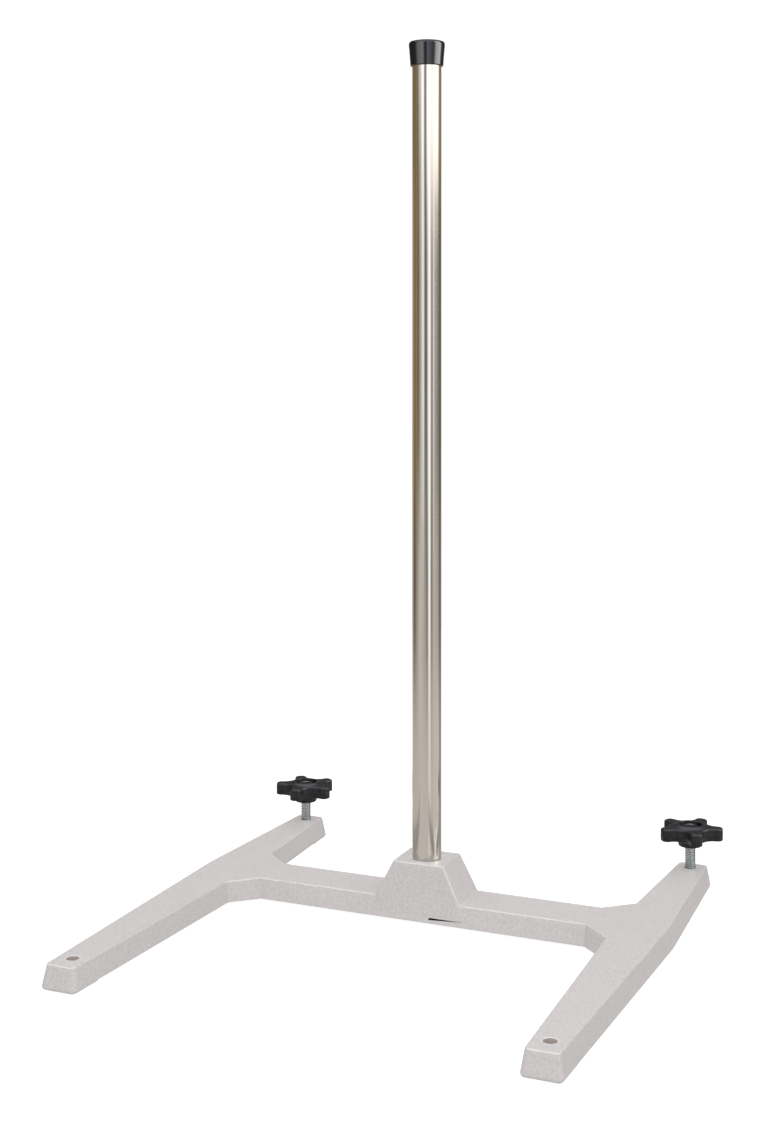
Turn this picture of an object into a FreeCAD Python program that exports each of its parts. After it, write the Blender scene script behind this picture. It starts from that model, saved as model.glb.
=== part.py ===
import FreeCAD, Part
import math
import os
import re
import Sketcher

# Heavy-duty laboratory stand: a cast H frame that lies on the bench, a polished one-inch
# tube that stands in its central boss, and two levelling screws in the rear leg ends.
# Origin: on the axis of the post, at the bench. +X right, +Y to the rear, +Z up. Millimetres.

SHEET = "Dimensions"

# Sizes of the cast frame are those at the bench; its walls lean inwards by frame_draft.
DIMENSIONS = {
    # cast frame
    "leg_offset": 194.2,
    "front_reach": 277.0,
    "rear_reach": 175.1,
    "tip_half_width": 16.05,
    "root_outer_half_width": 24.0,
    "root_inner_half_width": 25.3,
    "rail_half_width": 25.9,
    "gusset_on_rail": 149.0,
    "gusset_on_leg": 46.0,
    "frame_height": 19.6,
    "frame_draft": 9.5,
    "tip_corner_radius": 4.5,
    "edge_radius": 1.2,
    "foot_edge_radius": 2.6,
    "pad_length": 31.0,
    "pad_relief": 1.9,
    # boss that holds the post
    "boss_foot_half_width": 47.7,
    "boss_foot_half_depth": 25.2,
    "boss_top_half_width": 23.2,
    "boss_top_half_depth": 21.1,
    "boss_height": 50.2,
    "boss_corner_radius": 2.0,
    "socket_radius": 12.75,
    "socket_depth": 43.0,
    "socket_chamfer": 1.7,
    # bench bolt holes in front, tapped holes behind
    "bolt_hole_reach": 254.9,
    "bolt_hole_radius": 5.1,
    "tapped_hole_reach": 158.4,
    "tapped_hole_radius": 4.81,
    "hole_chamfer": 0.4,
    # post and its cap
    "post_radius": 12.7,
    "post_wall": 1.65,
    "post_length": 749.3,
    "post_end_chamfer": 0.5,
    "cap_bottom": 737.4,
    "cap_top": 759.1,
    "cap_lip_radius": 14.4,
    "cap_collar": 4.5,
    "cap_collar_radius": 14.6,
    "cap_top_radius": 15.95,
    "cap_edge_radius": 3.0,
    "cap_top_wall": 2.3,
    # socket set screws behind the post
    "set_screw_radius": 3.97,
    "set_screw_length": 7.9,
    "set_screw_lower": 23.0,
    "set_screw_upper": 38.0,
    "set_screw_key": 3.97,
    "set_screw_key_depth": 3.5,
    "set_screw_chamfer": 0.6,
    "set_screw_gap": 0.05,
    # star knobs, one set a little higher than the other
    "left_knob_base": 37.9,
    "right_knob_base": 39.7,
    "left_knob_turn": 56.0,
    "right_knob_turn": 7.5,
    "knob_height": 18.0,
    "knob_reach": 29.3,
    "lobe_thickness": 11.2,
    "lobe_half_width": 5.7,
    "lobe_tip_radius": 4.8,
    "valley_radius": 11.8,
    "hub_foot_radius": 10.6,
    "hub_radius": 11.8,
    "crown_foot_radius": 16.0,
    "crown_radius": 11.4,
    "crown_height": 1.7,
    "knob_recess_radius": 10.4,
    "knob_recess_depth": 5.0,
    "knob_top_edge": 1.7,
    "knob_lower_edge": 0.7,
    # levelling screws: 3/8 in, hex head seated in the knob
    "screw_radius": 4.76,
    "screw_length": 44.45,
    "screw_seat": 11.8,
    "screw_point_chamfer": 1.0,
    "head_across_flats": 14.29,
    "head_height": 6.35,
    "head_clearance": 0.1,
    # nylon feet, snapped into the ends of the levelling screws
    "foot_gap": 0.35,
    "foot_radius": 3.0,
    "foot_thickness": 2.8,
    "foot_bevel": 0.4,
    "foot_stem_radius": 1.5,
    "foot_stem_length": 3.9,
    "foot_bore_radius": 1.55,
    "foot_bore_depth": 4.2,
}

LOBES = 5
HEX_SIDES = 6


def make_sheet(doc):
    """Write the driving dimensions, one named cell each."""
    sheet = doc.addObject("Spreadsheet::Sheet", SHEET)
    for row, (name, value) in enumerate(DIMENSIONS.items(), start=1):
        sheet.set(f"A{row}", name)
        sheet.set(f"B{row}", str(value))
        sheet.setAlias(f"B{row}", name)
    doc.recompute()


def cells(expression):
    """Spell each dimension in an expression as a reference to its cell."""
    def reference(word):
        return f"{SHEET}.{word.group()}" if word.group() in DIMENSIONS else word.group()
    return re.sub(r"[a-z_]+", reference, expression)


def value_of(owner, expression):
    """Evaluate an expression of the sheet's cells."""
    return float(owner.evalExpression(cells(expression)))


def new_body(doc, label, x="0", y="0", z="0"):
    """Add a body for one physical piece, placed by expressions of the sheet's cells."""
    body = doc.addObject("PartDesign::Body", label)
    body.Label = label
    for axis, expression in zip("xyz", (x, y, z)):
        body.setExpression(f"Placement.Base.{axis}", cells(expression))
    return body


def origin_feature(body, role):
    return next(item for item in body.Origin.OriginFeatures if item.Role == role)


def new_sketch(body, name, role, offset="0"):
    """Add a sketch on one of the body's own planes, moved along the plane's normal."""
    sketch = body.newObject("Sketcher::SketchObject", name)
    sketch.AttachmentSupport = [(origin_feature(body, role), "")]
    sketch.MapMode = "FlatFace"
    sketch.setExpression("AttachmentOffset.Base.z", cells(offset))
    return sketch


def drive(sketch, constraint, expression):
    """Add a constraint whose value follows an expression of the sheet's cells."""
    index = sketch.addConstraint(constraint)
    sketch.setExpression(f"Constraints[{index}]", cells(expression))


def place_point(sketch, geometry, end, point, corner):
    """Tie a point to the sketch's origin by two expressions."""
    drive(sketch, Sketcher.Constraint("DistanceX", -1, 1, geometry, end, point.x), corner[0])
    drive(sketch, Sketcher.Constraint("DistanceY", -1, 1, geometry, end, point.y), corner[1])


def polygon_sketch(body, name, role, corners, offset="0"):
    """Sketch a closed polygon; each corner is a pair of expressions."""
    sketch = new_sketch(body, name, role, offset)
    points = [FreeCAD.Vector(value_of(sketch, x), value_of(sketch, y), 0) for x, y in corners]
    count = len(points)
    for index, point in enumerate(points):
        sketch.addGeometry(Part.LineSegment(point, points[(index + 1) % count]))
    for index, point in enumerate(points):
        sketch.addConstraint(Sketcher.Constraint("Coincident", index, 2, (index + 1) % count, 1))
        place_point(sketch, index, 1, point, corners[index])
    return sketch


def circle_sketch(body, name, role, circles, offset="0"):
    """Sketch circles, each given as x, y and radius expressions."""
    sketch = new_sketch(body, name, role, offset)
    normal = FreeCAD.Vector(0, 0, 1)
    for index, (x, y, radius) in enumerate(circles):
        centre = FreeCAD.Vector(value_of(sketch, x), value_of(sketch, y), 0)
        size = value_of(sketch, radius)
        sketch.addGeometry(Part.Circle(centre, normal, size))
        place_point(sketch, index, 3, centre, (x, y))
        drive(sketch, Sketcher.Constraint("Radius", index, size), radius)
    return sketch


def hexagon_sketch(body, name, role, across_flats, offset="0"):
    """Sketch a regular hexagon by its width across the flats."""
    corners = []
    for index in range(HEX_SIDES):
        turn = f"{360 / HEX_SIDES * index} deg"
        reach = f"({across_flats}) / 2 / cos(30 deg)"
        corners.append((f"{reach} * cos({turn})", f"{reach} * sin({turn})"))
    return polygon_sketch(body, name, role, corners, offset)


def rounded_rectangle_sketch(body, name, half_width, half_depth, radius, offset):
    """Sketch a rectangle about the body's Z axis, its corners rounded by tangent arcs."""
    sketch = new_sketch(body, name, "XY_Plane", offset)
    width = value_of(sketch, half_width)
    depth = value_of(sketch, half_depth)
    size = value_of(sketch, radius)
    quadrants = ((1, 1), (-1, 1), (-1, -1), (1, -1))
    centres = [FreeCAD.Vector(sx * (width - size), sy * (depth - size), 0) for sx, sy in quadrants]
    normal = FreeCAD.Vector(0, 0, 1)
    for index, centre in enumerate(centres):
        start = index * math.pi / 2
        circle = Part.Circle(centre, normal, size)
        sketch.addGeometry(Part.ArcOfCircle(circle, start, start + math.pi / 2))
    for index, centre in enumerate(centres):
        following = (index + 1) % len(centres)
        angle = (index + 1) * math.pi / 2
        away = FreeCAD.Vector(math.cos(angle), math.sin(angle), 0) * size
        line = sketch.addGeometry(Part.LineSegment(centre + away, centres[following] + away))
        sketch.addConstraint(Sketcher.Constraint("Tangent", index, 2, line, 1))
        sketch.addConstraint(Sketcher.Constraint("Tangent", line, 2, following, 1))
    for index, (sx, sy) in enumerate(quadrants):
        drive(sketch, Sketcher.Constraint("Radius", index, size), radius)
        corner = (f"{sx} * ({half_width} - {radius})", f"{sy} * ({half_depth} - {radius})")
        place_point(sketch, index, 3, centres[index], corner)
    return sketch


def pad(body, name, sketch, length):
    """Raise a solid from a sketch along the sketch's normal."""
    feature = body.newObject("PartDesign::Pad", name)
    feature.Profile = sketch
    feature.setExpression("Length", cells(length))
    return feature


def revolve(body, name, outline):
    """Turn a half outline of radius and height pairs about the body's Z axis."""
    sketch = polygon_sketch(body, name + "_outline", "XZ_Plane", outline)
    feature = body.newObject("PartDesign::Revolution", name)
    feature.Profile = sketch
    feature.ReferenceAxis = (sketch, ["V_Axis"])
    feature.Angle = 360
    return feature


def cut(doc, body, name, sketch, length, backwards=False, both_ways=False):
    """Pocket a sketch, and check that it takes material away."""
    doc.recompute()
    before = body.Shape.Volume
    feature = body.newObject("PartDesign::Pocket", name)
    feature.Profile = sketch
    feature.Reversed = backwards
    feature.Midplane = both_ways
    feature.setExpression("Length", cells(length))
    doc.recompute()
    if body.Shape.Volume > before - 1e-3:
        raise RuntimeError(f"{name} cuts nothing from {body.Label}")
    return feature


def edge_names(shape, wanted):
    """Name the edges of a shape that a test picks out."""
    return [f"Edge{index}" for index, edge in enumerate(shape.Edges, start=1) if wanted(edge)]


def dress(doc, body, name, kind, size, wanted):
    """Fillet or chamfer the edges of a body that a test picks out."""
    doc.recompute()
    base = body.Tip
    names = edge_names(base.Shape, wanted)
    if not names:
        raise RuntimeError(f"{name} finds no edge on {body.Label}")
    feature = body.newObject("PartDesign::" + kind, name)
    feature.Base = (base, names)
    feature.setExpression("Radius" if kind == "Fillet" else "Size", cells(size))
    doc.recompute()
    return feature


def lies_at(height):
    """Make a test for edges that lie wholly at one height."""
    def test(edge):
        box = edge.BoundBox
        return abs(box.ZMin - height) < 1e-4 and abs(box.ZMax - height) < 1e-4
    return test


def is_rim(height, radius):
    """Make a test for circular edges of one radius at one height."""
    at_height = lies_at(height)

    def test(edge):
        round_edge = isinstance(edge.Curve, Part.Circle)
        return at_height(edge) and round_edge and abs(edge.Curve.Radius - radius) < 1e-4
    return test


def leg_inner_edge(reach):
    """Distance from the stand's middle plane to a leg's inner edge where the gusset ends."""
    taper = f"(root_inner_half_width - tip_half_width) * gusset_on_leg / {reach}"
    return f"leg_offset - root_inner_half_width + {taper}"


def cast_legs_and_rail(doc, body):
    """Half of the H outline, leg and half rail, drafted and mirrored."""
    overlap = "-boss_top_half_depth"
    outline = [
        (overlap, "-rail_half_width"),
        ("gusset_on_rail", "-rail_half_width"),
        (leg_inner_edge("front_reach"), "-gusset_on_leg"),
        ("leg_offset - tip_half_width", "-front_reach"),
        ("leg_offset + tip_half_width", "-front_reach"),
        ("leg_offset + root_outer_half_width", "0"),
        ("leg_offset + tip_half_width", "rear_reach"),
        ("leg_offset - tip_half_width", "rear_reach"),
        (leg_inner_edge("rear_reach"), "gusset_on_leg"),
        ("gusset_on_rail", "rail_half_width"),
        (overlap, "rail_half_width"),
    ]
    sketch = polygon_sketch(body, "frame_outline", "XY_Plane", outline)
    half = pad(body, "frame_half", sketch, "frame_height")
    half.setExpression("TaperAngle", cells("-frame_draft"))
    doc.recompute()
    mirrored = body.newObject("PartDesign::Mirrored", "frame_whole")
    mirrored.Originals = [half]
    mirrored.MirrorPlane = (origin_feature(body, "YZ_Plane"), [""])
    body.Tip = mirrored


def round_the_frame(doc, body):
    """Round the upright corners of the leg ends, then the outlines above and below."""
    rear_end = DIMENSIONS["rear_reach"] - DIMENSIONS["pad_length"]
    front_end = -DIMENSIONS["front_reach"] + DIMENSIONS["pad_length"]

    def is_leg_end_corner(edge):
        box = edge.BoundBox
        return box.ZLength > 1 and (box.YMin > rear_end or box.YMax < front_end)
    dress(doc, body, "leg_end_corners", "Fillet", "tip_corner_radius", is_leg_end_corner)
    dress(doc, body, "top_outline", "Fillet", "edge_radius", lies_at(DIMENSIONS["frame_height"]))
    dress(doc, body, "foot_outline", "Fillet", "foot_edge_radius", lies_at(0))


def relieve_underside(doc, body):
    """Lift the underside between the pads under the four leg ends."""
    outline = [
        ("-front_reach + pad_length", "0"),
        ("rear_reach - pad_length", "0"),
        ("rear_reach - pad_length - pad_relief", "pad_relief"),
        ("-front_reach + pad_length + pad_relief", "pad_relief"),
    ]
    sketch = polygon_sketch(body, "underside_outline", "YZ_Plane", outline)
    cut(doc, body, "underside", sketch, "2 * (leg_offset + 2 * root_outer_half_width)", both_ways=True)


def cast_boss(doc, body):
    """The tapered boss that rises from the rail round the post."""
    foot = rounded_rectangle_sketch(
        body, "boss_foot", "boss_foot_half_width", "boss_foot_half_depth",
        "boss_corner_radius", "pad_relief")
    top = rounded_rectangle_sketch(
        body, "boss_top", "boss_top_half_width", "boss_top_half_depth",
        "boss_corner_radius", "boss_height")
    loft = body.newObject("PartDesign::AdditiveLoft", "boss")
    loft.Profile = foot
    loft.Sections = [top]
    loft.Ruled = True
    dress(doc, body, "boss_rim", "Fillet", "edge_radius", lies_at(DIMENSIONS["boss_height"]))


def bore_the_frame(doc, body):
    """Cut the post socket, the four leg-end holes and the set screw holes."""
    mouth = [("0", "0", "socket_radius")]
    socket = circle_sketch(body, "socket_circle", "XY_Plane", mouth, "boss_height")
    cut(doc, body, "socket", socket, "socket_depth")
    corner_holes = [
        (f"{side} * leg_offset", reach, radius)
        for side in (-1, 1)
        for reach, radius in (
            ("-bolt_hole_reach", "bolt_hole_radius"),
            ("tapped_hole_reach", "tapped_hole_radius"),
        )
    ]
    corners = circle_sketch(body, "corner_circles", "XY_Plane", corner_holes, "frame_height")
    cut(doc, body, "corner_holes", corners, "frame_height")
    heights = ("set_screw_lower", "set_screw_upper")
    threads = [("0", height, "set_screw_radius + set_screw_gap") for height in heights]
    behind = circle_sketch(body, "set_screw_circles", "XZ_Plane", threads)
    cut(doc, body, "set_screw_holes", behind, "rail_half_width")


def ease_the_mouths(doc, body):
    """Chamfer the mouth of the socket and of the leg-end holes."""
    mouth = is_rim(DIMENSIONS["boss_height"], DIMENSIONS["socket_radius"])
    dress(doc, body, "socket_mouth", "Chamfer", "socket_chamfer", mouth)
    for name in ("bolt_hole", "tapped_hole"):
        mouth = is_rim(DIMENSIONS["frame_height"], DIMENSIONS[name + "_radius"])
        dress(doc, body, name + "_mouths", "Chamfer", "hole_chamfer", mouth)


def make_base_casting(doc):
    body = new_body(doc, "base_casting")
    cast_legs_and_rail(doc, body)
    round_the_frame(doc, body)
    relieve_underside(doc, body)
    cast_boss(doc, body)
    bore_the_frame(doc, body)
    ease_the_mouths(doc, body)
    return body


def make_post_tube(doc):
    """A round tube that stands on the floor of the socket."""
    body = new_body(doc, "post_tube", z="boss_height - socket_depth")
    walls = [("0", "0", "post_radius"), ("0", "0", "post_radius - post_wall")]
    pad(body, "tube", circle_sketch(body, "tube_walls", "XY_Plane", walls), "post_length")

    is_lower_rim = is_rim(0, DIMENSIONS["post_radius"])
    is_upper_rim = is_rim(DIMENSIONS["post_length"], DIMENSIONS["post_radius"])
    dress(doc, body, "tube_ends", "Chamfer", "post_end_chamfer",
          lambda edge: is_lower_rim(edge) or is_upper_rim(edge))
    return body


def make_post_cap(doc):
    """A soft cap, wider at its top, stretched over the tube's upper end."""
    body = new_body(doc, "post_cap")
    outline = [
        ("0", "cap_top - cap_top_wall"),
        ("post_radius", "cap_top - cap_top_wall"),
        ("post_radius", "cap_bottom"),
        ("cap_lip_radius", "cap_bottom"),
        ("cap_collar_radius", "cap_bottom + cap_collar"),
        ("cap_top_radius", "cap_top"),
        ("0", "cap_top"),
    ]
    revolve(body, "cap", outline)
    rim = is_rim(DIMENSIONS["cap_top"], DIMENSIONS["cap_top_radius"])
    dress(doc, body, "cap_rim", "Fillet", "cap_edge_radius", rim)
    return body


def make_set_screw(doc, label, height):
    """A headless screw that lies along Y behind the post, its hexagon socket to the rear."""
    body = new_body(doc, label, y="post_radius + set_screw_gap", z=height)
    circle = circle_sketch(body, "screw_circle", "XZ_Plane", [("0", "0", "set_screw_radius")])
    shank = pad(body, "screw", circle, "set_screw_length")
    shank.Reversed = True
    key = hexagon_sketch(body, "key_outline", "XZ_Plane", "set_screw_key", "-set_screw_length")
    cut(doc, body, "key_socket", key, "set_screw_key_depth", backwards=True)

    def is_end_rim(edge):
        round_edge = isinstance(edge.Curve, Part.Circle)
        return round_edge and abs(edge.Curve.Radius - DIMENSIONS["set_screw_radius"]) < 1e-4
    dress(doc, body, "screw_ends", "Chamfer", "set_screw_chamfer", is_end_rim)
    return body


def place_levelling_piece(doc, label, side, height):
    """Add a body on the axis of one levelling screw; side is -1 for left and 1 for right."""
    return new_body(doc, label, f"{side} * leg_offset", "tapped_hole_reach", height)


def add_lobes(doc, body):
    """Five straight fingers that meet on the axis, with rounded tips and hollow valleys between."""
    finger = polygon_sketch(body, "lobe_outline", "XY_Plane", [
        ("0", "-lobe_half_width"),
        ("knob_reach", "-lobe_half_width"),
        ("knob_reach", "lobe_half_width"),
        ("0", "lobe_half_width"),
    ], "knob_height - lobe_thickness")
    lobe = pad(body, "lobe", finger, "lobe_thickness")
    doc.recompute()
    pattern = body.newObject("PartDesign::PolarPattern", "lobes")
    pattern.Originals = [lobe]
    pattern.Axis = (origin_feature(body, "Z_Axis"), [""])
    pattern.Angle = 360
    pattern.Occurrences = LOBES
    body.Tip = pattern

    def upright_at(low, high):
        def test(edge):
            reach = math.hypot(edge.CenterOfMass.x, edge.CenterOfMass.y)
            return edge.BoundBox.ZLength > 5 and low < reach < high
        return test
    crotch = DIMENSIONS["lobe_half_width"] / math.sin(math.pi / LOBES)
    dress(doc, body, "valleys", "Fillet", "valley_radius", upright_at(crotch - 0.5, crotch + 0.5))
    reach = DIMENSIONS["knob_reach"]
    dress(doc, body, "lobe_tips", "Fillet", "lobe_tip_radius", upright_at(reach, reach + 2))


def bore_the_knob(doc, body):
    """Cut the round recess, the seat of the screw's head and the bore for its shank."""
    wide = [("0", "0", "knob_recess_radius")]
    rim = "knob_height + crown_height"
    recess = circle_sketch(body, "recess_circle", "XY_Plane", wide, rim)
    cut(doc, body, "recess", recess, "knob_recess_depth")
    flats = "head_across_flats + 2 * head_clearance"
    seat = hexagon_sketch(body, "seat_outline", "XY_Plane", flats, rim)
    cut(doc, body, "hexagon_seat", seat, f"{rim} - screw_seat")
    narrow = [("0", "0", "screw_radius + head_clearance")]
    bore = circle_sketch(body, "bore_circle", "XY_Plane", narrow, rim)
    cut(doc, body, "bore", bore, rim)


def turn_with_knob(body, side_name):
    """Turn a body about its own Z axis to the angle of its knob."""
    body.Placement.Rotation = FreeCAD.Rotation(FreeCAD.Vector(0, 0, 1), 1)
    body.setExpression("Placement.Rotation.Angle", cells(f"{side_name}_knob_turn * 1 deg"))


def make_knob(doc, side_name, side):
    """A star knob: hub below, five lobes, a low crown and a round recess over a hexagon seat."""
    body = place_levelling_piece(doc, side_name + "_knob", side, side_name + "_knob_base")
    turn_with_knob(body, side_name)
    add_lobes(doc, body)
    revolve(body, "hub", [
        ("0", "0"),
        ("hub_foot_radius", "0"),
        ("hub_radius", "knob_height - lobe_thickness"),
        ("0", "knob_height - lobe_thickness"),
    ])
    top = DIMENSIONS["knob_height"]
    at_lower_face = lies_at(top - DIMENSIONS["lobe_thickness"])

    def is_lower_outline(edge):
        reach = max(math.hypot(vertex.X, vertex.Y) for vertex in edge.Vertexes)
        return at_lower_face(edge) and reach > DIMENSIONS["hub_radius"] + 1
    dress(doc, body, "top_edge", "Fillet", "knob_top_edge", lies_at(top))
    dress(doc, body, "lower_edge", "Fillet", "knob_lower_edge", is_lower_outline)
    revolve(body, "crown", [
        ("0", "knob_height - crown_height"),
        ("crown_foot_radius", "knob_height - crown_height"),
        ("crown_foot_radius", "knob_height"),
        ("crown_radius", "knob_height + crown_height"),
        ("0", "knob_height + crown_height"),
    ])
    bore_the_knob(doc, body)
    return body


def make_levelling_screw(doc, side_name, side):
    """A hexagon-head screw, its head seated in the knob; heights are from the knob's base."""
    body = place_levelling_piece(doc, side_name + "_screw", side, side_name + "_knob_base")
    turn_with_knob(body, side_name)
    tip = "screw_seat - screw_length"
    shank = circle_sketch(body, "shank_circle", "XY_Plane", [("0", "0", "screw_radius")], tip)
    pad(body, "shank", shank, "screw_length")
    head = hexagon_sketch(body, "head_outline", "XY_Plane", "head_across_flats", "screw_seat")
    pad(body, "head", head, "head_height")
    point = is_rim(value_of(body, tip), DIMENSIONS["screw_radius"])
    dress(doc, body, "point", "Chamfer", "screw_point_chamfer", point)
    bore = circle_sketch(body, "foot_bore_circle", "XY_Plane", [("0", "0", "foot_bore_radius")], tip)
    cut(doc, body, "foot_bore", bore, "foot_bore_depth", backwards=True)
    return body


def make_levelling_foot(doc, side_name, side):
    """A small nylon button that meets the bench while the screw turns above it."""
    height = f"{side_name}_knob_base + screw_seat - screw_length - foot_gap - foot_thickness"
    body = place_levelling_piece(doc, side_name + "_foot", side, height)
    revolve(body, "button", [
        ("0", "0"),
        ("foot_radius - foot_bevel", "0"),
        ("foot_radius", "foot_bevel"),
        ("foot_radius", "foot_thickness"),
        ("foot_stem_radius", "foot_thickness"),
        ("foot_stem_radius", "foot_thickness + foot_stem_length"),
        ("0", "foot_thickness + foot_stem_length"),
    ])
    return body


def check(doc, bodies):
    """Stop if any feature failed or any piece is not one closed solid."""
    for item in doc.Objects:
        if {"Invalid", "Error"} & set(item.State):
            raise RuntimeError(f"{item.Name} failed: {item.State}")
    for body in bodies:
        shape = body.Shape
        if shape.isNull() or not shape.isValid() or len(shape.Solids) != 1:
            raise RuntimeError(f"{body.Label} is not one valid solid")


def export(bodies):
    """Write one STEP file for each piece, named as the piece."""
    os.makedirs("parts", exist_ok=True)
    for body in bodies:
        body.Shape.exportStep(f"parts/{body.Label}.step")
        box = body.Shape.BoundBox
        print(f"{body.Label}: {body.Shape.Volume:.1f} mm3, {box}")


def main():
    doc = FreeCAD.newDocument("laboratory_stand")
    make_sheet(doc)
    bodies = [make_base_casting(doc), make_post_tube(doc), make_post_cap(doc)]
    for place in ("lower", "upper"):
        bodies.append(make_set_screw(doc, place + "_set_screw", "set_screw_" + place))
    for side_name, side in (("left", -1), ("right", 1)):
        bodies.append(make_knob(doc, side_name, side))
        bodies.append(make_levelling_screw(doc, side_name, side))
        bodies.append(make_levelling_foot(doc, side_name, side))
    doc.recompute()
    check(doc, bodies)
    export(bodies)


main()
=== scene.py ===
import math

import bmesh
import bpy
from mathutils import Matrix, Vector, noise


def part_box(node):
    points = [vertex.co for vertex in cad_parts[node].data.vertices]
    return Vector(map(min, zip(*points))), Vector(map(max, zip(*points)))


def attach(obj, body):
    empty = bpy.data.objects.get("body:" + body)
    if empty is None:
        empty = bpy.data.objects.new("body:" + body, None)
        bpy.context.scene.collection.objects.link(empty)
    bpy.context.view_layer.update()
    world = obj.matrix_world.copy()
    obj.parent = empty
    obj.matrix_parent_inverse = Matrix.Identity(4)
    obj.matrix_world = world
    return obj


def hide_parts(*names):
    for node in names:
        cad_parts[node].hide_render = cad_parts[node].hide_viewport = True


# Looks of a heavy laboratory stand. Everything is in metres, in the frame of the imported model:
# origin on the post's axis at the bench, +X right, +Y to the rear, +Z up.

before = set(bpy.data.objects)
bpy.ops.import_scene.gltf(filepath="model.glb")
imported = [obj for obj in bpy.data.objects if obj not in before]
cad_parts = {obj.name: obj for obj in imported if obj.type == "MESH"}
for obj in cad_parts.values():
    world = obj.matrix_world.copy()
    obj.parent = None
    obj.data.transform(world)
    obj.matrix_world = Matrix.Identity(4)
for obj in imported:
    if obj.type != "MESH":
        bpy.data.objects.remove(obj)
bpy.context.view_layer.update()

MM = 0.001

# Driving dimensions of the design that no box of a node gives.
LEG_OFFSET = 194.2 * MM
BOLT_HOLE_REACH = 254.9 * MM
TAPPED_HOLE_REACH = 158.4 * MM
TUBE_WALL = 1.65 * MM
TUBE_CHAMFER = 0.5 * MM
KNOB_TURN = {"left": 56.0, "right": 7.5}
KNOB_REACH = 29.3 * MM
LOBE_TOP = 18.0 * MM
LOBE_DEPTH = 11.2 * MM
LOBE_HALF_WIDTH = 5.7 * MM
LOBE_TIP = 4.8 * MM
LOBE_VALLEY = 11.8 * MM
CROWN_FOOT = 15.7 * MM
RECESS_RADIUS = 10.4 * MM
RECESS_DEPTH = 5.0 * MM
SCREW_SEAT = 11.8 * MM
SCREW_RADIUS = 4.76 * MM
SCREW_PITCH = 25.4 / 16 * MM
HEAD_HEIGHT = 6.35 * MM
HEAD_FLATS = 14.29 * MM
KEY_FLATS = 3.97 * MM

# How far the lobes' skin lies inside the design's, which leaves room for the mould's seam.
RELIEF = 0.04 * MM

# Camera: height of the eye, distance along the view, sideways shift, direction of the view, focal
# length in millimetres, and shift of the picture as a share of its longer side.
EYE_HEIGHT = 0.5078
EYE_DISTANCE = 1.4872
EYE_SIDE = 0.0390
VIEW_TURN = math.radians(23.47)
EYE = Vector((
    EYE_DISTANCE * math.sin(VIEW_TURN) - EYE_SIDE * math.cos(VIEW_TURN),
    -EYE_DISTANCE * math.cos(VIEW_TURN) - EYE_SIDE * math.sin(VIEW_TURN),
    EYE_HEIGHT,
))
LENS = 54.735
SHIFT_UP = -0.2062


# ---------------------------------------------------------------- meshes

def mesh_object(name, bm, sharp_angle=40):
    """Turn a bmesh into a smooth-shaded object with sharp edges where faces fold."""
    bmesh.ops.recalc_face_normals(bm, faces=bm.faces)
    mesh = bpy.data.meshes.new(name)
    bm.to_mesh(mesh)
    bm.free()
    mesh.shade_smooth()
    mesh.set_sharp_from_angle(angle=math.radians(sharp_angle))
    piece = bpy.data.objects.new(name, mesh)
    bpy.context.scene.collection.objects.link(piece)
    return piece


def skin(bm, rings, close=False):
    """Join rings of points, each with the same number of points, by a strip of faces."""
    rows = [[bm.verts.new(point) for point in ring] for ring in rings]
    pairs = list(zip(rows, rows[1:]))
    if close:
        pairs.append((rows[-1], rows[0]))
    count = len(rows[0])
    for lower, upper in pairs:
        for index in range(count):
            following = (index + 1) % count
            bm.faces.new((lower[index], lower[following], upper[following], upper[index]))
    return rows


def circle(centre, radius, height, angles):
    return [
        Vector((centre.x + radius * math.cos(turn), centre.y + radius * math.sin(turn), height))
        for turn in angles
    ]


def even_angles(count):
    return [math.tau * index / count for index in range(count)]


def quarter_circle(steps):
    """Sine and cosine at even steps of a quarter circle, both ends included."""
    angles = [math.radians(90 * step / (steps - 1)) for step in range(steps)]
    return [(math.sin(angle), math.cos(angle)) for angle in angles]


def blend_rings(first, second, share):
    """The ring that lies a share of the way from one ring to another."""
    return [a.lerp(b, share) for a, b in zip(first, second)]


def rounded(points, radius, steps=6):
    """Round the corners of an open outline of (radius, height) points, except its ends."""
    out = [points[0]]
    for before, corner, after in zip(points, points[1:], points[2:]):
        corner_at = Vector(corner)
        back = Vector(before) - corner_at
        ahead = Vector(after) - corner_at
        reach = min(radius, back.length * 0.45, ahead.length * 0.45)
        start = corner_at + back.normalized() * reach
        end = corner_at + ahead.normalized() * reach
        for step in range(steps + 1):
            share = step / steps
            inner = start.lerp(corner_at, share)
            outer = corner_at.lerp(end, share)
            out.append(tuple(inner.lerp(outer, share)))
    out.append(points[-1])
    return out


def lathe(bm, centre, outline, segments=128, close=False):
    """Turn an outline of (radius, height) points about an upright axis; open ends are filled."""
    angles = even_angles(segments)
    rings = [circle(centre, radius, height, angles) for radius, height in outline]
    rows = skin(bm, rings, close)
    if not close:
        bm.faces.new(rows[0])
        bm.faces.new(rows[-1])
    return rows


# ---------------------------------------------------------------- shader helpers

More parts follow.
